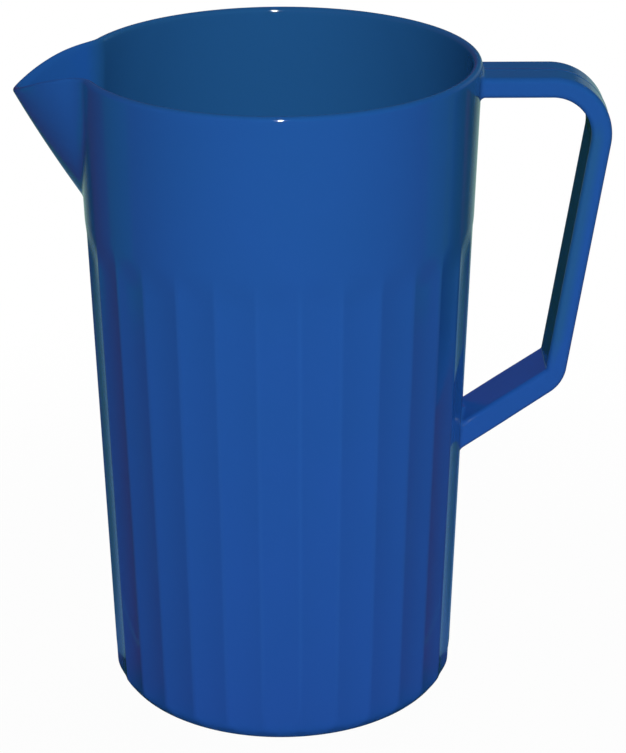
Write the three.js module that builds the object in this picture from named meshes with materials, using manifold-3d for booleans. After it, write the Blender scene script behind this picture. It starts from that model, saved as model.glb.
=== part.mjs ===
// A pouring jug in glossy blue plastic, divided into its named portions: floor, heel, fluted wall,
// plain collar, rim, spout and strap handle.
// Millimetres, +Z up. The origin is on the jug's axis at table height.
// The handle points to +X and the spout to -X.

import * as THREE from 'three';
import { mergeVertices } from 'three/addons/utils/BufferGeometryUtils.js';
import Module from 'manifold-3d';

const { clamp, degToRad, lerp } = THREE.MathUtils;

// Body
const HEIGHT = 176; // table to the top of the rim
const RIM_RADIUS = 52.5; // outside, at the rim
const FOOT_RADIUS = 46.75; // outside, where the line of the wall reaches the table
const WALL = 2.4; // wall thickness
const FLOOR = 3; // floor thickness
const HEEL = 5; // radius of the outer bottom edge
const FLOOR_FILLET = 5; // radius between the floor and the wall, inside
const HEEL_TOP = 10; // height at which the heel meets the fluted wall
const COLLAR_BASE = 136; // height at which the plain collar starts
const RIM_BASE = 173; // height at which the rounded rim starts
const RIM_ROUND = WALL / 2; // radius of the half round over the rim

// Flutes
const FLUTES = 30;
const FLUTE_DEPTH = 0.62;
const FLUTE_TOP = 135; // upper end of the run-outs
const RUN_OUT = 10; // height over which a flute fades out
const FADE_LOW = 2.5; // the ridges rise out of the smooth foot from here
const FADE_HIGH = 7; // and are full from here

// Spout
const SPOUT_REACH = 69.1; // jug axis to the tip
const TIP_DEPTH = 7.3; // the tip below the rim
const KEEL_DEPTH = 37.4; // the foot of the keel below the rim
const KEEL_BOW = 0.52; // how far the keel bows out halfway
const BEAK_ANGLE = degToRad(19.5); // half the spread of the beak's straight sides at the rim
const SPREAD_POWER = 0.6; // how that spread shrinks down the keel
const BEAK_FULLNESS = 1.12; // height of the sides' sharp ridge, before its rounding
const BEAK_CREASE = 0.18; // softness of the crease between beak and wall
const BEAK_WALL = 3; // wall of the beak along the keel, measured level
const INNER_SPREAD = 1.05; // spread of the beak inside, as a share of the spread outside
const LIP_START = 46; // distance from the axis at which the lip begins to dip
const LIP_DIP = 8.6; // dip of the lip if it reached as far as the tip of the keel
const LIP_ROUNDS = 30; // repetitions that settle the height of the lip
const SPOUT_SECTOR = degToRad(60); // the spout's panel of wall

// Handle
const STRAP_WIDTH = 17.4;
const STRAP = 5.35; // thickness of the upper arm and the grip
const LOWER_STRAP = 6.3; // thickness of the lower arm
const STRAP_EDGE = 1.4; // rounding of the strap's edges
const STRAP_DROP = 3.4; // the upper arm below the rim
const GRIP_REACH = 76; // jug axis to the inner face of the grip, at GRIP_HEIGHT
const GRIP_HEIGHT = 126.2; // between the two arms
const GRIP_LEAN = 0.15; // outward run of the grip for each unit of rise
const LOWER_REACH = 63; // a point on the upper face of the lower arm
const LOWER_HEIGHT = 86.7;
const LOWER_SLOPE = 0.68; // rise of the lower arm's upper face for each unit of run
const UNDER_SLOPE = 0.706; // rise of its lower face, so that the arm thickens towards the wall
const BEND_RADII = { topOuter: 15.6, topInner: 10.2, lowOuter: 10, lowInner: 3 };
const ARM_END = 66; // distance from the axis at which the arms meet the grip
const ROOT_GAP = 0.3; // clearance between the arms' roots and the wall

// Facets
const TURN = 2 * Math.PI;
const AROUND = 4 * FLUTES; // facets around the jug
const SPOUT_FACETS = 30;
const WALL_STEPS = 3; // steps up the straight part of the flutes
const RUN_OUT_STEPS = 5;
const COLLAR_STEPS = 2;
const SPOUT_STEPS = 12; // steps up the spout's panel
const ROUND_STEPS = 4; // steps in a quarter round of the wall's section
const BEND_STEPS = 8; // steps in a bend of the handle
const EDGE_STEPS = 3; // steps in a rounded edge of the strap
const WELD = 1e-4; // distance at which vertices are one

const BLUE = { color: 0x1d549b, roughness: 0.22, metalness: 0 };

// Wall surface

// Outside radius of the plain tapered wall at a height.
function wallLine(z) {
  return lerp(FOOT_RADIUS, RIM_RADIUS, z / HEIGHT);
}

// Inside radius of the plain wall, drawn in by the fillet at the floor.
function innerLine(z) {
  const filletTop = FLOOR + FLOOR_FILLET;
  if (z >= filletTop) {
    return wallLine(z) - WALL;
  }
  const rise = Math.min(filletTop - z, FLOOR_FILLET);
  const filletEnd = wallLine(filletTop) - WALL - FLOOR_FILLET;
  return filletEnd + Math.sqrt(FLOOR_FILLET ** 2 - rise ** 2);
}

// How far the rounded heel lies inside the line of the wall.
function heelCut(z) {
  const rise = Math.max(0, HEEL - z);
  return HEEL - Math.sqrt(HEEL ** 2 - rise ** 2);
}

// Share of the flutes' full depth: 1 on their straight part, then a smooth fade to 0 at their upper end.
function runOut(z) {
  const along = clamp((z - FLUTE_TOP) / RUN_OUT + 1, 0, 1);
  return (1 - along ** 2) ** 2;
}

// Depth of the flutes: a parabola between two ridges. At the foot the ridges are trimmed to the same depth.
function fluteDepth(phi, z) {
  const turns = (phi / TURN) * FLUTES;
  const across = 2 * (turns - Math.floor(turns)) - 1;
  const trim = clamp((FADE_HIGH - z) / (FADE_HIGH - FADE_LOW), 0, 1);
  return FLUTE_DEPTH * Math.max((1 - across ** 2) * runOut(z), trim ** 2);
}

// The larger of a value and zero, with the corner rounded over a band on either side.
function softPositive(value, band) {
  const overlap = Math.max(0, band - Math.abs(value));
  return Math.max(0, value) + overlap ** 2 / (4 * band);
}

// Distance of the keel line from the axis: slightly bowed from the tip to the foot on the wall.
function keelLine(depth) {
  const foot = wallLine(HEIGHT - KEEL_DEPTH);
  const share = (depth - TIP_DEPTH) / (KEEL_DEPTH - TIP_DEPTH);
  return lerp(SPOUT_REACH, foot, share) + KEEL_BOW * 4 * share * (1 - share);
}

// How far the beak stands out of the wall. Its straight sides fall away from the keel on both sides,
// and their spread shrinks down the keel much as an ellipse does.
function beakBulge(phi, z, thickness, spreadShare) {
  const depth = HEIGHT - z;
  const shrink = 1 - (depth / KEEL_DEPTH) ** 2;
  if (shrink <= 0) {
    return 0;
  }
  const spread = BEAK_ANGLE * spreadShare * shrink ** SPREAD_POWER;
  const aside = Math.hypot(Math.abs(phi) - Math.PI, spread * (1 - 1 / BEAK_FULLNESS));
  const share = softPositive(BEAK_FULLNESS * (1 - aside / spread), BEAK_CREASE);
  const reach = keelLine(depth) - wallLine(z) - thickness;
  return Math.max(0, reach) * share;
}

function outerRadius(phi, z) {
  return wallLine(z) - heelCut(z) - fluteDepth(phi, z) + beakBulge(phi, z, 0, 1);
}

function innerRadius(phi, z) {
  return innerLine(z) + beakBulge(phi, z, BEAK_WALL - WALL, INNER_SPREAD);
}

// Height of the lip: the rim's height, less a dip that grows with the square of the reach.
function lipHeight(phi) {
  let height = HEIGHT;
  for (let round = 0; round < LIP_ROUNDS; round += 1) {
    const middle = (outerRadius(phi, height) + innerRadius(phi, height)) / 2;
    const past = Math.max(0, -middle * Math.cos(phi) - LIP_START);
    height = HEIGHT - LIP_DIP * (past / (SPOUT_REACH - LIP_START)) ** 2;
  }
  return height;
}

// Solids

// A closed geometry with shared vertices and no collapsed triangles.
function closedGeometry(positions, index) {
  const loose = new THREE.BufferGeometry();
  loose.setAttribute('position', new THREE.Float32BufferAttribute(positions, 3));
  loose.setIndex(index);
  const merged = mergeVertices(loose, WELD);
  const corners = merged.index.array;
  const kept = [];
  for (let at = 0; at < corners.length; at += 3) {
    const [a, b, c] = corners.slice(at, at + 3);
    if (a !== b && b !== c && c !== a) {
      kept.push(a, b, c);
    }
  }
  merged.setIndex(kept);
  return merged;
}

// A ring or a sector turned about the axis. The section is a closed loop of points, counter-clockwise
// with the radius to the right, and place(phi, point) gives each one's radius and height at an angle.
// Only the lathe's triangles are used, so the radii of its template just have to be positive.
function turnedSolid(section, place, start = 0, sweep = TURN, facets = AROUND) {
  const loop = [...section, section[0]];
  const template = loop.map((point) => new THREE.Vector2(2 - point.across, point.up));
  const lathe = new THREE.LatheGeometry(template, facets, start, sweep);
  const positions = [];
  for (let i = 0; i <= facets; i += 1) {
    const phi = start + (sweep * i) / facets;
    for (const point of loop) {
      const [radius, height] = place(phi, point);
      positions.push(radius * Math.cos(phi), radius * Math.sin(phi), height);
    }
  }
  const index = [...lathe.index.array];
  if (sweep < TURN) {
    const contour = section.map((point) => new THREE.Vector2(...place(start, point)));
    const last = facets * loop.length;
    for (const [a, b, c] of THREE.ShapeUtils.triangulateShape(contour, [])) {
      index.push(a, b, c, last + c, last + b, last + a);
    }
  }
  return closedGeometry(positions, index);
}

// A point of the wall: the share of the way from the outer to the inner surface, and the height.
function onWall(phi, { across, up }) {
  return [lerp(outerRadius(phi, up), innerRadius(phi, up), across), up];
}

// A point of the spout, whose heights are shares of the way from the collar's base to a drop below the lip.
function onSpout(phi, { across, up, drop }) {
  const height = lerp(COLLAR_BASE, lipHeight(phi) - drop, up);
  return [lerp(outerRadius(phi, height), innerRadius(phi, height), across), height];
}

// A section up the outer surface and down the inner one, through heights given from the bottom.
function wallSection(outside, inside) {
  const up = outside.map((height) => ({ across: 0, up: height }));
  const down = inside.map((height) => ({ across: 1, up: height })).reverse();
  return [...up, ...down];
}

// The half round over the top of the wall, without its ends on the surfaces.
function crestPoints() {
  const points = [];
  for (let step = 1; step < 2 * ROUND_STEPS; step += 1) {
    const angle = (Math.PI * step) / (2 * ROUND_STEPS);
    points.push({ across: (1 - Math.cos(angle)) / 2, drop: RIM_ROUND * (1 - Math.sin(angle)) });
  }
  return points;
}

// Evenly spaced values from one end to the other.
function evenly(low, high, steps) {
  return Array.from({ length: steps + 1 }, (_, step) => lerp(low, high, step / steps));
}

// Heights that follow a quarter round from its level end to its upright end.
function roundHeights(base, radius) {
  return evenly(0, Math.PI / 2, ROUND_STEPS).map((angle) => base + radius * (1 - Math.cos(angle)));
}

// Body portions

function baseFloor() {
  const edge = innerLine(FLOOR);
  const outline = [[0, 0], [edge, 0], [edge, FLOOR], [0, FLOOR]];
  const disc = new THREE.LatheGeometry(outline.map(([r, z]) => new THREE.Vector2(r, z)), AROUND);
  disc.deleteAttribute('normal');
  disc.deleteAttribute('uv');
  disc.rotateX(Math.PI / 2);
  disc.rotateZ(-Math.PI / 2);
  return closedGeometry(disc.attributes.position.array, [...disc.index.array]);
}

function heelRing() {
  const outside = [...roundHeights(0, HEEL), FADE_HIGH, HEEL_TOP];
  const inside = [0, ...roundHeights(FLOOR, FLOOR_FILLET), HEEL_TOP];
  return turnedSolid(wallSection(outside, inside), onWall);
}

function flutedWall() {
  const straightTop = FLUTE_TOP - RUN_OUT;
  const straight = evenly(HEEL_TOP, straightTop, WALL_STEPS);
  const fading = evenly(straightTop, FLUTE_TOP, RUN_OUT_STEPS).slice(1);
  const outside = [...straight, ...fading, COLLAR_BASE];
  const inside = [...straight, COLLAR_BASE];
  return turnedSolid(wallSection(outside, inside), onWall);
}

const COLLAR_START = SPOUT_SECTOR / 2 - Math.PI;
const COLLAR_SWEEP = TURN - SPOUT_SECTOR;
const COLLAR_FACETS = Math.round((AROUND * COLLAR_SWEEP) / TURN);

function plainCollar() {
  const heights = evenly(COLLAR_BASE, RIM_BASE, COLLAR_STEPS);
  return turnedSolid(wallSection(heights, heights), onWall, COLLAR_START, COLLAR_SWEEP, COLLAR_FACETS);
}

function rim() {
  const crest = crestPoints().map(({ across, drop }) => ({ across, up: HEIGHT - drop }));
  const outer = [{ across: 0, up: RIM_BASE }, { across: 0, up: HEIGHT - RIM_ROUND }];
  const inner = [{ across: 1, up: HEIGHT - RIM_ROUND }, { across: 1, up: RIM_BASE }];
  const section = [...outer, ...crest, ...inner];
  return turnedSolid(section, onWall, COLLAR_START, COLLAR_SWEEP, COLLAR_FACETS);
}

function spout() {
  const levels = evenly(0, 1, SPOUT_STEPS);
  const outer = levels.map((up) => ({ across: 0, up, drop: RIM_ROUND }));
  const crest = crestPoints().map(({ across, drop }) => ({ across, up: 1, drop }));
  const inner = levels.map((up) => ({ across: 1, up, drop: RIM_ROUND })).reverse();
  const start = Math.PI - SPOUT_SECTOR / 2;
  return turnedSolid([...outer, ...crest, ...inner], onSpout, start, SPOUT_SECTOR, SPOUT_FACETS);
}

// Handle

// Crossing of two lines, each given as a point and a direction.
function crossing([p, u], [q, v]) {
  const along = ((q.x - p.x) * v.y - (q.y - p.y) * v.x) / (u.x * v.y - u.y * v.x);
  return p.clone().addScaledVector(u, along);
}

// A shape through corner points, each rounded by an arc of its radius.
function roundedShape(corners) {
  const shape = new THREE.Shape();
  corners.forEach(({ at, radius }, i) => {
    const before = corners[(i + corners.length - 1) % corners.length].at;
    const after = corners[(i + 1) % corners.length].at;
    const back = before.clone().sub(at).normalize();
    const ahead = after.clone().sub(at).normalize();
    const half = back.angleTo(ahead) / 2;
    const tangent = radius / Math.tan(half);
    const from = at.clone().addScaledVector(back, tangent);
    const to = at.clone().addScaledVector(ahead, tangent);
    if (i === 0) {
      shape.moveTo(from.x, from.y);
    } else {
      shape.lineTo(from.x, from.y);
    }
    if (radius > 0) {
      const bisector = back.clone().add(ahead).normalize();
      const centre = at.clone().addScaledVector(bisector, radius / Math.sin(half));
      const opening = from.clone().sub(centre).angle();
      const closing = to.clone().sub(centre).angle();
      const clockwise = back.cross(ahead) > 0;
      shape.absarc(centre.x, centre.y, radius, opening, closing, clockwise);
    }
  });
  return shape;
}

// Side outline of the whole strap, with its ends inside the wall.
function strapOutline() {
  const top = HEIGHT - STRAP_DROP;
  const level = new THREE.Vector2(1, 0);
  const grip = new THREE.Vector2(GRIP_LEAN, 1).normalize();
  const arm = new THREE.Vector2(1, LOWER_SLOPE).normalize();
  const gripOut = new THREE.Vector2(grip.y, -grip.x);
  const armDown = new THREE.Vector2(arm.y, -arm.x);
  const under = new THREE.Vector2(1, UNDER_SLOPE).normalize();
  const gripInner = new THREE.Vector2(GRIP_REACH, GRIP_HEIGHT);
  const armInner = new THREE.Vector2(LOWER_REACH, LOWER_HEIGHT);
  const topOuter = [new THREE.Vector2(0, top), level];
  const topInner = [new THREE.Vector2(0, top - STRAP), level];
  const outerGrip = [gripInner.clone().addScaledVector(gripOut, STRAP), grip];
  const innerGrip = [gripInner, grip];
  const lowOuter = [armInner.clone().addScaledVector(armDown, LOWER_STRAP), under];
  const lowInner = [armInner, arm];
  const root = [new THREE.Vector2(FOOT_RADIUS - WALL, 0), new THREE.Vector2(0, 1)];
  const sharp = (one, other) => ({ at: crossing(one, other), radius: 0 });
  return roundedShape([
    sharp(topInner, root),
    { at: crossing(topInner, innerGrip), radius: BEND_RADII.topInner },
    { at: crossing(innerGrip, lowInner), radius: BEND_RADII.lowInner },
    sharp(lowInner, root),
    sharp(lowOuter, root),
    { at: crossing(lowOuter, outerGrip), radius: BEND_RADII.lowOuter },
    { at: crossing(outerGrip, topOuter), radius: BEND_RADII.topOuter },
    sharp(topOuter, root),
  ]);
}

function strapGeometry() {
  const strap = new THREE.ExtrudeGeometry(strapOutline(), {
    depth: STRAP_WIDTH - 2 * STRAP_EDGE,
    curveSegments: BEND_STEPS,
    bevelSize: STRAP_EDGE,
    bevelThickness: STRAP_EDGE,
    bevelOffset: -STRAP_EDGE,
    bevelSegments: EDGE_STEPS,
  });
  strap.translate(0, 0, STRAP_EDGE - STRAP_WIDTH / 2);
  strap.rotateX(Math.PI / 2);
  return strap;
}

// Everything inside the wall's outer surface, with the clearance at the handle's roots.
function wallCutter() {
  const outline = [[0, 0], [FOOT_RADIUS + ROOT_GAP, 0], [RIM_RADIUS + ROOT_GAP, HEIGHT], [0, HEIGHT]];
  const cone = new THREE.LatheGeometry(outline.map(([r, z]) => new THREE.Vector2(r, z)), AROUND);
  cone.rotateX(Math.PI / 2);
  cone.rotateZ(-Math.PI / 2);
  return cone;
}

function boxBetween(low, high) {
  const size = high.clone().sub(low);
  const box = new THREE.BoxGeometry(size.x, size.y, size.z);
  box.translate(...low.clone().addScaledVector(size, 0.5));
  return box;
}

const wasm = await Module();
wasm.setup();

function toSolid(geometry) {
  const bare = geometry.clone();
  bare.deleteAttribute('normal');
  bare.deleteAttribute('uv');
  const { position } = bare.attributes;
  const order = bare.index ? [...bare.index.array] : Array.from({ length: position.count }, (_, i) => i);
  const closed = closedGeometry(position.array, order);
  const vertProperties = new Float32Array(closed.attributes.position.array);
  const triVerts = new Uint32Array(closed.index.array);
  return new wasm.Manifold(new wasm.Mesh({ numProp: 3, vertProperties, triVerts }));
}

function toGeometry(solid) {
  const { vertProperties, triVerts } = solid.getMesh();
  return closedGeometry(vertProperties, [...triVerts]);
}

function handlePortions() {
  const strap = toSolid(strapGeometry()).subtract(toSolid(wallCutter()));
  const aside = STRAP_WIDTH;
  const middle = GRIP_HEIGHT;
  const far = 2 * GRIP_REACH;
  const above = boxBetween(new THREE.Vector3(0, -aside, middle), new THREE.Vector3(ARM_END, aside, HEIGHT));
  const below = boxBetween(new THREE.Vector3(0, -aside, 0), new THREE.Vector3(ARM_END, aside, middle));
  const outer = boxBetween(new THREE.Vector3(ARM_END, -aside, 0), new THREE.Vector3(far, aside, HEIGHT));
  return [above, outer, below].map((box) => toGeometry(strap.intersect(toSolid(box))));
}

// Assembly

const jug = new THREE.Group();

function addPortion(name, geometry) {
  const mesh = new THREE.Mesh(geometry, new THREE.MeshStandardMaterial(BLUE));
  mesh.name = name;
  jug.add(mesh);
}

const [upperArm, grip, lowerArm] = handlePortions();
addPortion('base_floor', baseFloor());
addPortion('heel_ring', heelRing());
addPortion('fluted_wall', flutedWall());
addPortion('plain_collar', plainCollar());
addPortion('rim', rim());
addPortion('spout', spout());
addPortion('handle_upper_arm', upperArm);
addPortion('handle_grip', grip);
addPortion('handle_lower_arm', lowerArm);

export default jug;
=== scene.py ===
# %% [markdown]
# # A blue plastic jug
# The object is a pouring jug: one moulding of glossy blue plastic with a fluted, slightly tapered body,
# a plain band under the rim, a beaked spout and a strap handle.
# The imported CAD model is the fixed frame. It is loaded first, in metres, with the jug's axis on Z,
# the handle towards +X and the spout towards -X. Everything made below stays in that frame.

# %% Load the frame
import bpy
import numpy as np
from mathutils import Matrix, Vector


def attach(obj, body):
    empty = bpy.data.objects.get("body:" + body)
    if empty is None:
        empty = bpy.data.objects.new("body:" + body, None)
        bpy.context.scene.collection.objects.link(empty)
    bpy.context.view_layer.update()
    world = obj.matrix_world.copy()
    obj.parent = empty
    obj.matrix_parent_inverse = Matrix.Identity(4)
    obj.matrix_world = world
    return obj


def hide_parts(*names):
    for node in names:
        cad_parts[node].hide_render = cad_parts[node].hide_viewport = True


MM = 0.001    # shapes are worked out in millimetres and become metres in the mesh
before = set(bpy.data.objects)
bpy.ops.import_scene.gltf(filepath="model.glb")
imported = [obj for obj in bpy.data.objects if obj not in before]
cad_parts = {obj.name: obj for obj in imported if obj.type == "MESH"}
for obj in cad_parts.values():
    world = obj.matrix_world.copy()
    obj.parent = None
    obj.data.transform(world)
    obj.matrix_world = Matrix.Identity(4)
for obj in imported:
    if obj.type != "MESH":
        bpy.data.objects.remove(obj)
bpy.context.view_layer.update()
print("CAD nodes:", sorted(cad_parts))

# %% [markdown]
# ## From arrays to a mesh
# Both pieces of the jug are tubes in the mathematical sense: a closed ring of points that changes as it
# moves along a path. A lathe, a sweep and a spout that bulges out of a wall are then the same thing,
# a grid of points with one axis along the path and one around the ring.
# One helper turns such a grid into a closed mesh. It joins neighbouring rings with four-sided faces and
# closes the first and the last ring with a fan of triangles.

# %% A closed skin over a stack of rings
def skin(name, rings):
    """Mesh object over rings[path, around, xyz] in mm. Face (i, j) joins ring i to ring i + 1 and point j
    to j + 1, and the fans meet in the mean point of each end ring."""
    steps, around = rings.shape[:2]
    ends = rings[[0, -1]].mean(axis=1)
    points = np.concatenate([rings.reshape(-1, 3), ends]) * MM
    index = np.arange(steps * around).reshape(steps, around)
    ahead = np.roll(index, -1, axis=1)
    quads = np.stack([index[:-1], ahead[:-1], ahead[1:], index[1:]], axis=-1).reshape(-1, 4)
    hub = np.full(around, steps * around)
    start = np.stack([hub, ahead[0], index[0]], axis=-1)
    finish = np.stack([hub + 1, index[-1], ahead[-1]], axis=-1)
    mesh = bpy.data.meshes.new(name)
    mesh.from_pydata(points.tolist(), [], quads.tolist() + start.tolist() + finish.tolist())
    mesh.polygons.foreach_set("use_smooth", np.ones(len(mesh.polygons), dtype=bool))
    mesh.update()
    piece = bpy.data.objects.new(name, mesh)
    bpy.context.scene.collection.objects.link(piece)
    print(name, "-", len(mesh.vertices), "points,", len(quads) * 2 + 2 * around, "triangles")
    return piece


# %% [markdown]
# ## The wall
# On the real jug the wall is a straight cone, a little wider at the rim than at the foot, so that the
# moulding slides off its core. Thirty shallow flutes are pressed into it, and each fades out softly upward.
# A cylinder with thirty cuts would give hard edges. Here a flute is a formula instead: a parabola between
# two ridges, taken away from the radius, so the ridges stay flush with the plain band above.

# %% Sizes of the wall
HEIGHT = 176.0        # table to the top of the rim
RIM_RADIUS = 52.5     # outside, at the rim
FOOT_RADIUS = 46.75   # outside, where the line of the wall reaches the table
WALL = 2.4
FLOOR = 3.0
HEEL = 5.0            # radius of the outer bottom edge
FLOOR_FILLET = 5.0    # radius between the floor and the wall, inside
COLLAR_BASE = 136.0   # the plain band starts here
FLUTES = 30
FLUTE_DEPTH = 0.62
FLUTE_TOP = 135.0     # upper end of the run-outs
RUN_OUT = 10.0        # height over which a flute fades out
FADE_LOW = 2.5        # the ridges rise out of the smooth foot from here
FADE_HIGH = 7.0       # to here
CREST_FROM = 5 / 6    # a ridge's crest begins at this share of the way from a flute's middle to the ridge
TURN = 2 * np.pi
print("flute pitch at the foot: %.1f mm" % (TURN * FOOT_RADIUS / FLUTES))


# %% Radius of the wall, outside and inside
def ramp(value, low, high):
    """A straight line from 0 at low to 1 at high, level beyond them. Low may be the larger of the two."""
    return np.clip((value - low) / (high - low), 0, 1)


def wall_line(z):
    """Outside radius of the plain cone: a straight line from the foot to the rim."""
    return FOOT_RADIUS + (RIM_RADIUS - FOOT_RADIUS) * z / HEIGHT


def inner_line(z):
    """Inside radius: the cone less the wall, drawn in by a quarter circle at the floor."""
    top = FLOOR + FLOOR_FILLET
    below = np.clip(top - z, 0, FLOOR_FILLET)
    return wall_line(np.maximum(z, top)) - WALL - FLOOR_FILLET + np.sqrt(FLOOR_FILLET ** 2 - below ** 2)


def heel_cut(z):
    """How far the quarter circle of the heel lies inside the line of the wall."""
    below = np.clip(HEEL - z, 0, HEEL)
    return HEEL - np.sqrt(HEEL ** 2 - below ** 2)


def run_out(z):
    """Share of the flutes' full depth: 1 on their straight part, then (1 - v^2)^2 with v from 0 to 1 up the
    run-out."""
    v = ramp(z, FLUTE_TOP - RUN_OUT, FLUTE_TOP)
    return (1 - v ** 2) ** 2


def place_in_flute(phi):
    """u, which is -1 on one ridge, 0 in the middle of the flute and 1 on the next ridge."""
    return 2 * ((phi / TURN * FLUTES) % 1.0) - 1


def flute_depth(phi, z):
    """Depth times (1 - u^2) times the run-out. At the foot the ridges are trimmed too, by depth times the
    square of the share of the fade still to climb."""
    climb = ramp(z, FADE_HIGH, FADE_LOW)
    return FLUTE_DEPTH * np.maximum((1 - place_in_flute(phi) ** 2) * run_out(z), climb ** 2)


def ridge_crest(phi, z):
    """1 on a ridge, falling in a straight line to 0 where its crest begins, and 0 above and below the
    flutes."""
    return ramp(np.abs(place_in_flute(phi)), CREST_FROM, 1) * (z > FADE_HIGH) * run_out(z)


print("inside radius at the rim: %.1f mm" % inner_line(HEIGHT))

# %% [markdown]
# ## The spout
# The beak grows out of the wall: a slightly bowed keel runs from a foot on the wall up to the tip, and two
# nearly flat sides fall away from it to creases. It could be a separate cone joined by a boolean, but the
# real beak has no seam, so it is one more term that is added to the wall's radius.
# Its lip dips towards the tip, which is what lets the last drop run off cleanly.

# %% Bulge of the beak and height of the lip
SPOUT_REACH = 69.1             # jug axis to the tip
TIP_DEPTH = 7.3                # the tip below the rim
KEEL_DEPTH = 37.4              # the foot of the keel below the rim
KEEL_BOW = 0.52                # how far the keel bows out halfway
BEAK_ANGLE = np.radians(19.5)  # half the spread of the sides at the rim
SPREAD_POWER = 0.6             # how fast the spread shrinks down the keel
LEAST_SHRINK = 1e-9            # keeps the spread above zero at the foot of the keel
BEAK_FULLNESS = 1.12           # height of the sides' sharp ridge before its rounding
BEAK_CREASE = 0.18             # softness of the crease against the wall
BEAK_WALL = 3.0                # wall of the beak along the keel
INNER_SPREAD = 1.05            # spread inside as a share of the spread outside
LIP_START = 46.0               # distance from the axis at which the lip begins to dip
LIP_DIP = 8.6                  # dip of the lip if it reached as far as the tip of the keel
LIP_ROUNDS = 30                # repetitions that settle the lip


def soft_positive(value, band):
    """max(value, 0) with its corner replaced by a parabola over plus and minus one band."""
    return np.maximum(0, value) + np.maximum(0, band - np.abs(value)) ** 2 / (4 * band)


def keel_line(depth):
    """Distance of the keel from the axis: a straight line over s from 0 at the tip to 1 at the foot, plus a
    bow of 4 s (1 - s)."""
    foot = wall_line(HEIGHT - KEEL_DEPTH)
    s = (depth - TIP_DEPTH) / (KEEL_DEPTH - TIP_DEPTH)
    return SPOUT_REACH + (foot - SPOUT_REACH) * s + KEEL_BOW * 4 * s * (1 - s)


def beak_bulge(phi, z, thickness=0.0, spread_share=1.0):
    """Keel distance beyond the wall, less a thickness, times a share that falls in a straight line from 1
    on the keel to 0 at the crease. The spread of the sides shrinks down the keel as
    1 - (depth / keel depth)^2 to the spread power."""
    depth = HEIGHT - z
    shrink = np.maximum(LEAST_SHRINK, 1 - (depth / KEEL_DEPTH) ** 2) ** SPREAD_POWER
    spread = BEAK_ANGLE * spread_share * shrink
    aside = np.hypot(np.abs(phi) - np.pi, spread * (1 - 1 / BEAK_FULLNESS))
    share = soft_positive(BEAK_FULLNESS * (1 - aside / spread), BEAK_CREASE)
    reach = np.maximum(0, keel_line(depth) - wall_line(z) - thickness)
    return np.where(depth < KEEL_DEPTH, reach * share, 0)


def beak_hollow(phi, z):
    """The bulge of the inside, which leaves the beak its thicker wall."""
    return beak_bulge(phi, z, BEAK_WALL - WALL, INNER_SPREAD)


def outer_radius(phi, z):
    """Cone, less heel and flutes, plus beak."""
    return wall_line(z) - heel_cut(z) - flute_depth(phi, z) + beak_bulge(phi, z)


def inner_radius(phi, z):
    """Inside of the cone plus the hollow of the beak."""
    return inner_line(z) + beak_hollow(phi, z)


def lip_height(phi):
    """Rim height less a dip that grows with the square of the reach past LIP_START. The reach depends on the
    height in turn, so the pair is settled by repetition."""
    height = np.full_like(phi, HEIGHT)
    for _ in range(LIP_ROUNDS):
        middle = (outer_radius(phi, height) + inner_radius(phi, height)) / 2
        past = np.maximum(0, -middle * np.cos(phi) - LIP_START)
        height = HEIGHT - LIP_DIP * (past / (SPOUT_REACH - LIP_START)) ** 2
    return height


print("lip at the tip: %.1f mm below the rim" % (HEIGHT - lip_height(np.array([np.pi]))[0]))

# %% [markdown]
# ## One seamless body
# A section through the wall is walked once: from the middle of the underside out to the heel, up the outside,
# over the half-round rim, down the inside and back to the middle of the floor. Each station of that walk says
# how far across the wall it lies (0 outside, 1 inside) and how high. Turned about the axis, the walk is the
# body. The stations lie close together where the surface bends and far apart where it is straight, and the
# columns lie closer at the spout than elsewhere.

# %% Stations of the section
HEEL_STEPS = 13         # steps up each stretch of the outside
FADE_STEPS = 4
FLUTE_STEPS = 8
RUN_OUT_STEPS = 13
COLLAR_STEPS = 43       # up the plain band, and down again inside
RIM_STEPS = 16          # over the half-round rim
INSIDE_STEPS = 8        # down the inside below the band
FILLET_STEPS = 9
DISC_SHARES = np.array([0.05, 0.4, 0.75, 0.95])    # of the radius, for the rings of the two flat discs


def onward(low, high, steps):
    """Even steps from low to high, without low itself."""
    return np.linspace(low, high, steps + 1)[1:]


def quarter(base, radius, steps):
    """Heights along a quarter circle from its level end to its upright end."""
    return base + radius * (1 - np.cos(np.linspace(0, np.pi / 2, steps + 1)))


def station(across, up=COLLAR_BASE, share=-1.0, drop=0.0, draw=1.0):
    """Columns across the wall, height, share of the way to the lip (-1 where the height holds), drop below
    the lip and draw to the axis."""
    return np.stack(np.broadcast_arrays(across, up, share, drop, draw), axis=-1)


fluted = np.concatenate([
    onward(HEEL, FADE_HIGH, FADE_STEPS),
    onward(FADE_HIGH, FLUTE_TOP - RUN_OUT, FLUTE_STEPS),
    onward(FLUTE_TOP - RUN_OUT, FLUTE_TOP, RUN_OUT_STEPS),
])
shares = np.linspace(0, 1, COLLAR_STEPS + 1)
rim_turn = onward(0, np.pi, RIM_STEPS)[:-1]
section = np.concatenate([
    station(0, 0.0, draw=DISC_SHARES),
    station(0, quarter(0, HEEL, HEEL_STEPS)),
    station(0, fluted),
    station(0, share=shares, drop=WALL / 2),
    station((1 - np.cos(rim_turn)) / 2, share=1, drop=(1 - np.sin(rim_turn)) * WALL / 2),
    station(1, share=shares[::-1], drop=WALL / 2),
    station(1, onward(COLLAR_BASE, FLOOR + FLOOR_FILLET, INSIDE_STEPS)),
    station(1, quarter(FLOOR, FLOOR_FILLET, FILLET_STEPS)[-2::-1]),
    station(1, FLOOR, draw=DISC_SHARES[::-1]),
])
print("stations along the section:", len(section))

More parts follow.
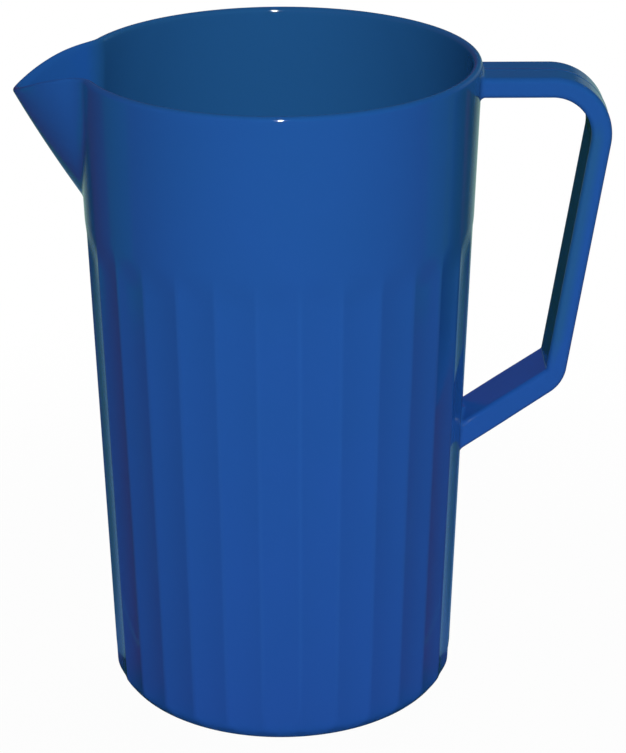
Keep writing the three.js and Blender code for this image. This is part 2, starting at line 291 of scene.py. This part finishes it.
# %% Turn the section into the body
SPOUT_FROM = 150.0      # degrees from the handle at which the finer columns begin
PLAIN_STEP = 1.0        # degrees between columns
SPOUT_STEP = 1 / 3
plain_columns = np.arange(-SPOUT_FROM, SPOUT_FROM, PLAIN_STEP)
spout_columns = np.arange(SPOUT_FROM, 360 - SPOUT_FROM, SPOUT_STEP)
phi = np.radians(np.concatenate([plain_columns, spout_columns]))[None, :]
phi = (phi + np.pi) % TURN - np.pi
across, up, share, drop, draw = (column[:, None] for column in section.T)
height = np.where(share < 0, up, COLLAR_BASE + (lip_height(phi) - drop - COLLAR_BASE) * share)
outside = outer_radius(phi, height)
radius = draw * (outside + (inner_radius(phi, height) - outside) * across)
body = skin("jug_body", np.stack([radius * np.cos(phi), radius * np.sin(phi), height], axis=-1))

# %% [markdown]
# The inside of the jug is painted a shade greener than the outside, as painted shade and inner reflections,
# and so is the wall behind the grip, as painted shade where the handle keeps light off it. The hollow of the
# beak keeps the blue of the outside. The crests of the ridges are a little paler. These places follow the
# shape, so the points of the body carry them as numbers, which the plastic reads later.

# %% Tints of the body
# painted shade: the sizes below set where the inside of the jug and the wall behind the grip get the greener
# tint
HOLLOW_DEPTH = 3.0              # the inside tint is gone where the beak's hollow is this deep
GAP_ANGLE = np.radians(37.0)    # the wall behind the grip is tinted from this angle beside the handle
GAP_FULL = np.radians(28.0)     # and fully from this one
GAP_LOW = 100.0                 # upward from this height
GAP_HIGH = 140.0                # and fully from this one


def paint(piece, name, rings, ends):
    """A number for each point of a piece, given ring by ring and then for the two ends."""
    values = np.append(rings, ends)
    piece.data.attributes.new(name, "FLOAT", "POINT").data.foreach_set("value", values)
    print(piece.name, "- points with", name, "above zero:", np.count_nonzero(values > 0))


# painted shade: a greener tint inside the jug and on the wall behind the grip, in place of the shade and
# inner reflections there
inside_shade = across * (1 - ramp(beak_hollow(phi, height), 0, HOLLOW_DEPTH))
grip_shade = ramp(np.abs(phi), GAP_ANGLE, GAP_FULL) * ramp(height, GAP_LOW, GAP_HIGH)
paint(body, "inside", np.where(across == 0, grip_shade, inside_shade), [0.0, 1.0])
paint(body, "ridge", ridge_crest(phi, height) * (across == 0), [0.0, 0.0])

# %% [markdown]
# ## The handle
# The handle is a flat strap about 17 mm wide: a level arm leaves the band just under the rim, bends down
# into a leaning grip, and a sloping arm returns to the fluted wall. The bends differ inside and outside,
# so one centre line with a constant thickness would miss the sharp inner corner at the bottom.
# Instead an outer and an inner line are drawn in the upright plane and walked together. At each step
# the ring is a rectangle with rounded corners that spans the two lines.

# %% Outer and inner line of the strap
STRAP_WIDTH = 17.4
STRAP = 5.35            # thickness of the upper arm and the grip
LOWER_STRAP = 6.3       # thickness of the lower arm near its root
STRAP_EDGE = 1.4        # rounding of the strap's edges
STRAP_DROP = 3.4        # the strap's top face below the rim
GRIP_POINT = np.array([76.0, 126.2])    # on the inner face of the grip, as distance from the axis and height
GRIP_WAY = np.array([0.15, 1.0])        # the grip leans outward as it rises
ARM_POINT = np.array([63.0, 86.7])      # on the upper face of the lower arm
ARM_WAY = np.array([1.0, 0.68])
UNDER_WAY = np.array([1.0, 0.706])      # its lower face is a little steeper, so the arm thickens to the wall
LEVEL = np.array([1.0, 0.0])
ROOT_REACH = 58.0       # both straight arms are drawn from here
OUTER_BENDS = (15.6, 10.0)              # radii of the upper and the lower bend along the outer line
INNER_BENDS = (10.2, 1.0)               # the same along the inner line
UPPER_POINTS = 28       # points in the upper bend, the lower bend and each straight run
LOWER_POINTS = 20
STRAIGHT_POINTS = 8


def unit(v):
    """The vector divided by its length."""
    return v / np.linalg.norm(v)


def crossing(p, u, q, v):
    """Point on the line p + a u that also lies on the line q + b v."""
    a, _ = np.linalg.solve(np.stack([u, -v], axis=-1), q - p)
    return p + a * u


def bend(before, corner, after, radius, points):
    """Arc that touches both lines at a corner: its centre is on the bisector, and the arm from the centre
    turns evenly from one touching point to the other."""
    back, ahead = unit(before - corner), unit(after - corner)
    half = np.arccos(back @ ahead) / 2
    centre = corner + unit(back + ahead) * radius / np.sin(half)
    first = corner + back * radius / np.tan(half) - centre
    last = corner + ahead * radius / np.tan(half) - centre
    turn = np.pi - 2 * half
    s = np.linspace(0, 1, points)[:, None]
    return centre + (first * np.sin((1 - s) * turn) + last * np.sin(s * turn)) / np.sin(turn)


def strap_line(top, grip, arm, arm_way, bends):
    """Line along one face of the strap: level arm, bend, grip, bend, lower arm, with steps that match on both
    faces."""
    corner = crossing(top, LEVEL, grip, GRIP_WAY)
    elbow = crossing(grip, GRIP_WAY, arm, arm_way)
    start = np.array([ROOT_REACH, top[1]])
    end = arm + arm_way * (ROOT_REACH - arm[0])
    upper = bend(start, corner, elbow, bends[0], UPPER_POINTS)
    lower = bend(corner, elbow, end, bends[1], LOWER_POINTS)
    s = np.linspace(0, 1, STRAIGHT_POINTS)[:, None]
    level_run = start + (upper[0] - start) * s[:-1]
    grip_run = upper[-1] + (lower[0] - upper[-1]) * s[1:-1]
    arm_run = lower[-1] + (end - lower[-1]) * s[1:]
    return np.concatenate([level_run, upper, grip_run, lower, arm_run])


grip_out = unit(np.array([GRIP_WAY[1], -GRIP_WAY[0]])) * STRAP
arm_down = unit(np.array([ARM_WAY[1], -ARM_WAY[0]])) * LOWER_STRAP
top_face = np.array([0.0, HEIGHT - STRAP_DROP])
outer_strap = strap_line(top_face, GRIP_POINT + grip_out, ARM_POINT + arm_down, UNDER_WAY, OUTER_BENDS)
inner_strap = strap_line(top_face - [0.0, STRAP], GRIP_POINT, ARM_POINT, ARM_WAY, INNER_BENDS)
print("strap steps:", len(outer_strap), " reach: %.1f mm" % outer_strap[:, 0].max())

# %% [markdown]
# The two halves of the mould meet in the upright plane of the handle and leave a hair-fine witness line
# along the middle of the strap's outer face. The ring gets a few extra points there that stand a tenth of a
# millimetre proud. It also gets points just beside each rounded edge, which keep the flat faces flat in
# smooth shading.

# %% Ring of the strap
WITNESS = 0.12                          # height of the witness line
WITNESS_PLACES = np.array([-1.2, -0.7, -0.3, 0.0, 0.3, 0.7, 1.2])    # across the strap
WITNESS_SHARES = np.array([0.0, 0.0, 0.6, 1.0, 0.6, 0.0, 0.0])       # of its height at these places
EDGE_MARGIN = 0.3                       # from a rounded edge to the points beside it
SIDE_PLACES = np.array([0.7, -0.7])     # points on a side of the strap, as shares of its half thickness
EDGE_POINTS = 10
half_width = STRAP_WIDTH / 2 - STRAP_EDGE
beside = half_width - EDGE_MARGIN
arc = np.linspace(0, np.pi / 2, EDGE_POINTS)
face_places = np.concatenate([[-beside], WITNESS_PLACES, [beside]])
face_rise = np.concatenate([[0.0], WITNESS_SHARES, [0.0]]) * WITNESS


def stretch(turn, side, face, rise=0.0):
    """A stretch of the ring: turn of its normal, place along the width, face (1 outer to -1 inner) and
    rise."""
    return np.stack(np.broadcast_arrays(turn, side, face, rise))


ring_turn, ring_side, ring_face, ring_rise = np.concatenate([
    stretch(0, face_places, 1, face_rise),
    stretch(arc, half_width, 1),
    stretch(np.pi / 2, half_width, SIDE_PLACES),
    stretch(arc + np.pi / 2, half_width, -1),
    stretch(np.pi, -face_places, -1),
    stretch(arc + np.pi, -half_width, -1),
    stretch(1.5 * np.pi, -half_width, -SIDE_PLACES),
    stretch(arc + 1.5 * np.pi, -half_width, 1),
], axis=1)
print("points around the strap:", len(ring_turn))

# %% [markdown]
# At both roots the ring opens into a small fillet: it is slid along its arm until it meets the wall, and the
# last steps widen as a quarter circle does. One more ring lies inside the wall, so that no gap can show.
# The inner face of the grip gets the greener inside tint as painted shade, since little light reaches it.

# %% Roots of the arms and the whole handle
ROOT_FILLET = 1.3
ROOT_POINTS = 9         # rings in a fillet
ROOT_BURIAL = 0.8       # depth of the end ring inside the wall
SLIDE_ROUNDS = 12       # repetitions that settle a ring on the wall
GRIP_LOW = 96.0         # the grip's inner face is tinted between these heights
GRIP_HIGH = 162.0
GRIP_FADE = 6.0         # height over which the tint comes and goes


def strap_rings(outer, inner, flare=0.0):
    """Rounded rectangles between two lines. A point is the corner's core plus the rounding, any flare and the
    witness line along the ring's own normal, which turns from the outer face towards -Y."""
    middle, span = (outer + inner) / 2, outer - inner
    thickness = np.linalg.norm(span, axis=1)[:, None]
    way = span / thickness
    out = np.cos(ring_turn) * (STRAP_EDGE + flare + ring_rise)
    side = np.sin(ring_turn) * (STRAP_EDGE + flare)
    through = ring_face * (thickness / 2 - STRAP_EDGE) + out
    y = np.broadcast_to(-(ring_side + side), through.shape)
    flat = middle[:, None, :] + way[:, None, :] * through[..., None]
    return np.stack([flat[..., 0], y, flat[..., 1]], axis=-1)


def slide_to_wall(points, way, standoff):
    """Moves points along an arm's direction until they stand off the wall's outside by a distance. The wall's
    radius changes with height and angle, so the step is repeated until it settles."""
    for _ in range(SLIDE_ROUNDS):
        x, y, z = np.moveaxis(points, -1, 0)
        target = outer_radius(np.arctan2(y, x), z) + standoff
        step = (np.sqrt(target ** 2 - y ** 2) - x) / way[0]
        points = points + step[..., None] * np.array([way[0], 0.0, way[1]])
    return points


def root_rings(outer, inner, way):
    """Rings from inside the wall to the arm: a buried one, then standoff f (1 - sin a) and flare
    f (1 - cos a) as a falls from a quarter turn to 0."""
    angle = np.concatenate([[np.pi / 2], np.linspace(np.pi / 2, 0, ROOT_POINTS)])
    flare = (ROOT_FILLET * (1 - np.cos(angle)))[:, None]
    standoff = ROOT_FILLET * (1 - np.sin(angle))
    standoff[0] = -ROOT_BURIAL
    copies = (len(angle), 1)
    rings = strap_rings(np.tile(outer, copies), np.tile(inner, copies), flare)
    return slide_to_wall(rings, way, standoff[:, None])


handle_rings = np.concatenate([
    root_rings(outer_strap[0], inner_strap[0], LEVEL),
    strap_rings(outer_strap, inner_strap),
    root_rings(outer_strap[-1], inner_strap[-1], unit(ARM_WAY + UNDER_WAY))[::-1],
])
handle = skin("jug_handle", handle_rings)
grip_height = handle_rings[..., 2]
rising = ramp(grip_height, GRIP_LOW, GRIP_LOW + GRIP_FADE)
falling = ramp(grip_height, GRIP_HIGH, GRIP_HIGH - GRIP_FADE)
# painted shade: the grip's inner face gets the greener inside tint
paint(handle, "inside", rising * falling * (ring_face < 0), [0.0, 0.0])

# %% [markdown]
# ## Shader maths as Python
# A material is a graph of nodes, and wiring arithmetic by hand hides the formula. This small class wraps one
# socket, so that an expression such as 0.1 + 0.05 * noise adds the Math nodes it needs. Every other kind
# of node comes from its one method.

# %% A socket that does arithmetic
class Wire:
    """One socket of a node tree. Sums, differences and products of wires and numbers add Math nodes."""

    def __init__(self, tree, socket=None):
        self.tree = tree
        self.socket = socket

    def node(self, kind, settings=None, values=None, out=0):
        """Adds a node: its settings first, then numbers, colours or wires for its sockets. Gives one of its
        outputs."""
        node = self.tree.nodes.new(kind)
        for name, value in (settings or {}).items():
            setattr(node, name, value)
        for name, value in (values or {}).items():
            if isinstance(value, Wire):
                self.tree.links.new(value.socket, node.inputs[name])
            else:
                node.inputs[name].default_value = value
        return Wire(self.tree, node.outputs[out] if len(node.outputs) else None)

    def output(self, name):
        """Another output of the node that this wire comes from."""
        return Wire(self.tree, self.socket.node.outputs[name])

    def math(self, operation, one, other=0.0):
        """A Math node on two wires or numbers."""
        return self.node("ShaderNodeMath", {"operation": operation}, {0: one, 1: other})

    def __add__(self, other):
        return self.math("ADD", self, other)

    def __radd__(self, other):
        return self.math("ADD", other, self)

    def __sub__(self, other):
        return self.math("SUBTRACT", self, other)

    def __rsub__(self, other):
        return self.math("SUBTRACT", other, self)

    def __mul__(self, other):
        return self.math("MULTIPLY", self, other)

    def __rmul__(self, other):
        return self.math("MULTIPLY", other, self)


# %% Helpers for colours, steps and coordinates
def blend(factor, one, other):
    """A colour that goes from one to the other as the factor goes from 0 to 1. The Mix node takes its two
    colours at sockets 6 and 7 and gives the result at output 2."""
    return factor.node("ShaderNodeMix", {"data_type": "RGBA"}, {"Factor": factor, 6: one, 7: other}, out=2)


def smooth_step(value, low, high):
    """0 below low, 1 above high, and a smooth S between."""
    return value.node("ShaderNodeMapRange", {"interpolation_type": "SMOOTHSTEP"},
                      {"Value": value, "From Min": low, "From Max": high, "To Min": 0.0, "To Max": 1.0})


def noise(place, scale, detail):
    """Cloudy noise around 0.5. The scale is in waves per metre."""
    values = {"Vector": place, "Scale": scale, "Detail": detail}
    return place.node("ShaderNodeTexNoise", None, values, out="Fac")


def along(place, axis):
    """One coordinate of a place."""
    return place.node("ShaderNodeSeparateXYZ", None, {0: place}, out=axis)


def bare_tree(owner):
    """An owner's node tree with nothing in it, as the start of a wire."""
    owner.use_nodes = True
    owner.node_tree.nodes.clear()
    return Wire(owner.node_tree)


# %% [markdown]
# ## Glossy blue plastic
# The whole jug is one dyed plastic with a polished skin. On a real moulding the colour is never perfectly
# even, the skin has a faint orange peel that only shows in reflections, and the standing edge is scuffed
# dull. All of it reads Object coordinates, so it stays put on the jug from every side. Two things follow the
# shape instead, as the numbers that the points carry: the greener tint of painted shade inside the jug and on
# the two faces of the finger gap, and the paler crests of the ridges.

# %% The plastic
FOOT_BLUE = (0.0158, 0.089, 0.392, 1)
RIM_BLUE = (0.0130, 0.090, 0.340, 1)
# painted shade: this greener blue stands in for the shade and inner reflections inside the jug and in the
# finger gap
INSIDE_SHADE_BLUE = (0.0160, 0.101, 0.282, 1)
# a paler blue: worn on the scuffed standing edge, and simply a little paler on the ridge crests
PALER_BLUE = (0.03, 0.15, 0.50, 1)
DRIFT = 5.7                 # per metre of height: from the blue of the foot to that of the rim
CLOUDING = 0.5              # how far the slow noise moves that drift
SCUFF = (0.0002, 0.0035)    # heights in metres over which the scuffed standing edge ends
SCUFF_WAVE = 0.002          # unevenness of that height
SCUFF_PALING = 0.35         # shares of the worn blue on the scuffed edge and on the crests
CREST_PALING = 0.10
POLISH = 0.03               # roughness of the clean skin
SMEAR_DULLING = 0.025       # what smears and scuffs add to it
SCUFF_DULLING = 0.3


def blue_plastic():
    """A blue that drifts from foot to rim with a slow noise, greener where the inside tint is and paler on
    the crests; roughness from a second noise, rising on the standing edge; orange peel bump."""
    material = bpy.data.materials.new("blue_plastic")
    start = bare_tree(material)
    place = start.node("ShaderNodeTexCoord", out="Object")
    cloud = noise(place, scale=45.0, detail=3.0)
    smear = noise(place, scale=160.0, detail=4.0)
    peel = noise(place, scale=900.0, detail=2.0)
    up = along(place, "Z")
    scuff = 1 - smooth_step(up + SCUFF_WAVE * (smear - 0.5), *SCUFF)
    inside = start.node("ShaderNodeAttribute", {"attribute_name": "inside"}, out="Fac")
    ridge = start.node("ShaderNodeAttribute", {"attribute_name": "ridge"}, out="Fac")
    blue = blend(DRIFT * up + CLOUDING * (cloud - 0.5), FOOT_BLUE, RIM_BLUE)
    # painted shade: where the inside number is set, the blue turns into the greener shade blue
    tinted = blend(inside, blue, INSIDE_SHADE_BLUE)
    paled = blend(SCUFF_PALING * scuff + CREST_PALING * ridge, tinted, PALER_BLUE)
    rough = POLISH + SMEAR_DULLING * smear + SCUFF_DULLING * scuff
    bump = start.node("ShaderNodeBump", None, {"Height": peel, "Strength": 0.06, "Distance": 0.0004})
    shader = start.node("ShaderNodeBsdfPrincipled", None,
                        {"Base Color": paled, "Roughness": rough, "Normal": bump, "IOR": 1.45})
    start.node("ShaderNodeOutputMaterial", None, {"Surface": shader})
    return material


plastic = blue_plastic()
for piece in (body, handle):
    piece.data.materials.append(plastic)
    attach(piece, "root")
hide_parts("base_floor", "heel_ring", "fluted_wall", "plain_collar", "rim", "spout")
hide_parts("handle_upper_arm", "handle_grip", "handle_lower_arm")
print("material nodes:", len(plastic.node_tree.nodes))

# %% [markdown]
# ## Floor and surroundings
# The photograph shows the jug cut out on white, lit by a small lamp near the camera: the band and the
# flutes are brightest in the middle, tiny glints sit on the rim, and pale streaks follow both limbs, where
# the plastic mirrors pale ground at a glancing angle. White ground all round would mirror far too brightly.
# So the floor and the world are white to the camera alone, and the floor mixes in its own lit surface, which
# keeps the jug's shadow. To mirrored rays the studio is dim and tinted. Behind the jug lies a dark lane, a
# painted shadow of the jug, and along it run two pale strips that make the streaks. Beside them the ground
# is a dim green pool near the jug and dusky further out, the sides are misty green, and the rest is a reddish
# haze with a shade round the foot.

# %% Colours of the mirrored studio
WHITE = (1, 1, 1, 1)
NEAR_STRIP = (0.098, 0.226, 0.380, 1)
FAR_STRIP = (0.280, 0.440, 0.380, 1)
# painted shadow: the jug's own shadow on the ground behind it as mirrored rays see it, and the shade round
# the foot
LANE = (0.007, 0.033, 0.012, 1)
POOL = (0.050, 0.150, 0.050, 1)
DUSK = (0.012, 0.050, 0.045, 1)
MIST = (0.040, 0.150, 0.045, 1)
HAZE = (0.068, 0.014, 0.045, 1)
CEILING = (0.028, 0.085, 0.022, 1)


def white_rays(start):
    """Light Path's camera output, and 1 for camera rays and for rays through clear things."""
    rays = start.node("ShaderNodeLightPath", out="Is Camera Ray")
    return rays, rays.math("MAXIMUM", rays, rays.output("Is Transmission Ray"))


print("far strip over lane, in green: %.0f times" % (FAR_STRIP[1] / LANE[1]))

# %% The floor
PAPER = (0.50, 0.50, 0.50, 1)    # the lit surface that keeps the shadow
PAPER_SHARE = 0.03               # the share of it that the camera sees near the jug
PAPER_FADE = (0.10, 0.30)        # metres from the axis over which that share ends
BACK = (-0.004, 0.004)           # where the ground counts as behind the axis
FLANK = 0.062                    # the splay is measured from this far beside the axis
STRIP_SPLAY = (0.20, 0.80)       # the strips fade out over this splay
POOL_SPLAY = (0.75, 1.0)         # the pool and the dusk end over this one
MIST_SPLAY = (1.3, 2.1)          # the mist begins over this one
LEFT_LAG = 0.5                   # and on the left at a splay larger by this
MIST_START = (0.27, 0.33)        # metres from the axis over which the mist begins
NEAR = (0.30, 0.36)              # metres from the axis over which near ground turns into far ground
FOOT_SHADE = (0.048, 0.060)      # metres from the axis over which the shade round the foot ends
LANE_HALF = 0.0455               # half the width of the lane at the axis
LANE_FLARE = 0.105               # each of its edges moves out by this share of the distance back
LANE_EDGE = 0.008                # softness of the edges
STRIP_END = (0.55, 0.70)         # metres behind the axis over which the left strip ends
RIGHT_RUN = 2.5                  # the right one runs on, as this makes its ground count as nearer
GROUND_HALF = 3.0                # half the floor's width, in metres
GROUND_DROP = 0.0002             # below the jug, so that the two faces don't coincide


def pale_floor():
    """To the camera white, with a share of the lit paper near the jug. To mirrored rays a map of the ground
    by its distance from the axis and its splay, which is the distance outside the line of the flank over
    the distance behind the axis."""
    material = bpy.data.materials.new("pale_floor")
    start = bare_tree(material)
    rays, white = white_rays(start)
    place = start.node("ShaderNodeTexCoord", out="Object")
    away = start.node("ShaderNodeVectorMath", {"operation": "LENGTH"}, {0: place}, out="Value")
    x = along(place, "X")
    aside, behind = x.math("ABSOLUTE", x), x.output("Y")
    left = x.math("LESS_THAN", x, 0.0)
    back = smooth_step(behind, *BACK)
    near = 1 - smooth_step(away, *NEAR)
    splay = x.math("DIVIDE", aside - FLANK, behind)

    haze = blend(smooth_step(away, *FOOT_SHADE), LANE, HAZE)
    mist = back * smooth_step(splay - LEFT_LAG * left, *MIST_SPLAY) * smooth_step(away, *MIST_START)
    pool = back * (1 - smooth_step(splay, *POOL_SPLAY))
    # painted shadow of the jug: the dark lane behind it
    beyond_lane = smooth_step(aside - LANE_FLARE * behind - LANE_HALF, 0.0, LANE_EDGE)
    lane = back * (1 - beyond_lane)
    ending = smooth_step(behind - RIGHT_RUN * x.math("MAXIMUM", x, 0.0), *STRIP_END)
    strip = back * (1 - smooth_step(splay, *STRIP_SPLAY)) * beyond_lane * (1 - ending)

    ground = blend(mist, haze, MIST)
    ground = blend(pool, ground, blend(near, DUSK, POOL))
    ground = blend(lane, ground, LANE)
    ground = blend(strip, ground, blend(near, FAR_STRIP, NEAR_STRIP))

    mirrored = rays.output("Is Glossy Ray")
    white = white * (1 - PAPER_SHARE + PAPER_SHARE * smooth_step(away, *PAPER_FADE))
    paper = start.node("ShaderNodeBsdfDiffuse", None, {"Color": PAPER})
    glow = start.node("ShaderNodeEmission", None, {"Color": blend(mirrored, WHITE, ground)})
    glowing = rays.math("MAXIMUM", white, mirrored)
    mixed = start.node("ShaderNodeMixShader", None, {0: glowing, 1: paper, 2: glow})
    start.node("ShaderNodeOutputMaterial", None, {"Surface": mixed})
    return material


square = np.array([[-1, -1], [1, -1], [1, 1], [-1, 1]]) * GROUND_HALF
corners = np.column_stack([square, np.full(len(square), -GROUND_DROP)])
floor_mesh = bpy.data.meshes.new("floor")
floor_mesh.from_pydata(corners.tolist(), [], [[0, 1, 2, 3]])
floor_mesh.materials.append(pale_floor())
floor = bpy.data.objects.new("floor", floor_mesh)
bpy.context.scene.collection.objects.link(floor)
print("floor nodes:", len(floor_mesh.materials[0].node_tree.nodes))

# %% [markdown]
# The world is white to the camera too. To mirrored rays it is haze on the left and low down, and the
# ceiling's dim green on the right and overhead, with a paler corner low at the back on the right. All other
# rays find a faint light from all round. It is stronger from the right, where the photographed plastic is
# brighter.

# %% The world
AMBIENT = 0.065               # scattered light from all round
SLANT = 0.9                   # share by which it is stronger from the right and weaker from the left
CEILING_FADE = (0.15, 0.45)   # upward plus rightward part of a direction over which haze turns into ceiling
CORNER_SIDE = (0.1, 0.3)      # rightward less upward part over which the corner begins
CORNER_BACK = (0.3, 0.7)      # backward part over which it begins
CORNER_SHARE = 0.6


def dim_studio():
    """White, mirrored or ambient by the kind of ray. The ambient light is AMBIENT times (1 + SLANT times the
    rightward part of the direction)."""
    world = bpy.data.worlds.new("studio")
    start = bare_tree(world)
    rays, white = white_rays(start)
    way = start.node("ShaderNodeTexCoord", out="Generated")
    sideways = along(way, "X")
    backward, rising = sideways.output("Y"), sideways.output("Z")
    ambient = AMBIENT + AMBIENT * SLANT * sideways
    overhead = blend(smooth_step(rising + sideways, *CEILING_FADE), HAZE, CEILING)
    corner = smooth_step(sideways - rising, *CORNER_SIDE) * smooth_step(backward, *CORNER_BACK)
    overhead = blend(CORNER_SHARE * corner, overhead, FAR_STRIP)
    colour = blend(white, blend(rays.output("Is Glossy Ray"), ambient, overhead), WHITE)
    sky = start.node("ShaderNodeBackground", None, {"Color": colour})
    start.node("ShaderNodeOutputWorld", None, {"Surface": sky})
    return world


bpy.context.scene.world = dim_studio()
print("ambient light:", AMBIENT, " world nodes:", len(bpy.context.scene.world.node_tree.nodes))

# %% [markdown]
# ## Camera and lamps
# The camera was found by fitting a pinhole to the photograph's rim, limbs and foot. It stands 0.64 m in
# front of the axis, 0.36 m above the table, and looks down by 22.8 degrees.

# %% Camera
AZIMUTH = np.radians(0.5)     # the camera stands this far round the jug towards the handle
EYE_OUT = 0.6417              # metres from the axis
EYE_UP = 0.3570               # metres above the table
PITCH = np.radians(22.815)    # downward
YAW = np.radians(0.2765)      # to the right
ROLL = np.radians(-0.163)     # the right side a little down
FOCAL_PIXELS = 2574.3         # focal length in pixels of the photograph
PICTURE_HEIGHT = 753          # pixels along the longer side, which the sensor spans
SENSOR = 36.0                 # Blender's sensor, in mm

eye = np.array([EYE_OUT * np.sin(AZIMUTH), -EYE_OUT * np.cos(AZIMUTH), EYE_UP])
forward = np.array([np.sin(YAW) * np.cos(PITCH), np.cos(YAW) * np.cos(PITCH), -np.sin(PITCH)])
level_right = np.array([np.cos(YAW), -np.sin(YAW), 0.0])
level_up = np.cross(level_right, forward)
right = np.cos(ROLL) * level_right + np.sin(ROLL) * level_up
upward = np.cos(ROLL) * level_up - np.sin(ROLL) * level_right
pose = np.eye(4)
pose[:3, :3] = np.stack([right, upward, -forward], axis=-1)
pose[:3, 3] = eye
camera = bpy.data.objects.new("camera", bpy.data.cameras.new("camera"))
camera.data.lens = SENSOR * FOCAL_PIXELS / PICTURE_HEIGHT
camera.matrix_world = Matrix(pose.tolist())
bpy.context.scene.collection.objects.link(camera)
bpy.context.scene.camera = camera
print("lens %.1f mm" % camera.data.lens)

# %% [markdown]
# The lamp is a small disc behind the camera, a little above it and to its right. It makes the glints on
# the rim. Two weak discs stand behind the jug, one of them to the right, and a narrow spot shines straight
# down into the mouth, because the inside would be too dark without it. These three are hidden from mirrored
# rays, so they add no glints.

# %% Lamps
AIM = np.array([0.0, 0.0, 0.09])    # the middle of the jug, in metres
LAMP_RAISE = 0.06                   # the line from the aim to the lamp passes this far above the eye
LAMP_ASIDE = 0.014                  # and this far to its right
LAMP_SETBACK = 1.7                  # the lamp is this many times as far from the aim as that point


def hang(name, data, place):
    """Puts a lamp into the scene at a place. Until it is turned it shines straight down."""
    lamp = bpy.data.objects.new(name, data)
    lamp.location = place
    bpy.context.scene.collection.objects.link(lamp)
    return lamp


def disc_lamp(name, place, size, energy):
    """A disc that shines from a place towards the aim."""
    data = bpy.data.lights.new(name, "AREA")
    data.shape = "DISK"
    data.size = size
    data.energy = energy
    lamp = hang(name, data, place)
    lamp.rotation_euler = (Vector(AIM) - Vector(place)).to_track_quat("-Z", "Y").to_euler()
    return lamp


def spot_lamp(name, place, angle, softness, energy):
    """A cone of light straight down from a place."""
    data = bpy.data.lights.new(name, "SPOT")
    data.spot_size = angle
    data.spot_blend = softness
    data.energy = energy
    return hang(name, data, place)


lamp_place = AIM + LAMP_SETBACK * (eye + LAMP_RAISE * upward + LAMP_ASIDE * right - AIM)
disc_lamp("lamp", lamp_place, size=0.068, energy=10.85)
fills = [
    disc_lamp("back_light", (0.0, 0.70, 0.80), size=0.5, energy=2.5),
    disc_lamp("right_fill", (0.45, 0.85, 0.40), size=0.3, energy=5.0),
    spot_lamp("mouth_light", (0.0, 0.0, 1.2), angle=np.radians(5.2), softness=0.3, energy=60.0),
]
for fill in fills:
    fill.visible_glossy = False
bpy.context.scene.view_settings.view_transform = "Standard"
print("lamp at", np.round(lamp_place, 2).tolist(), "m, and", len(fills), "fills")
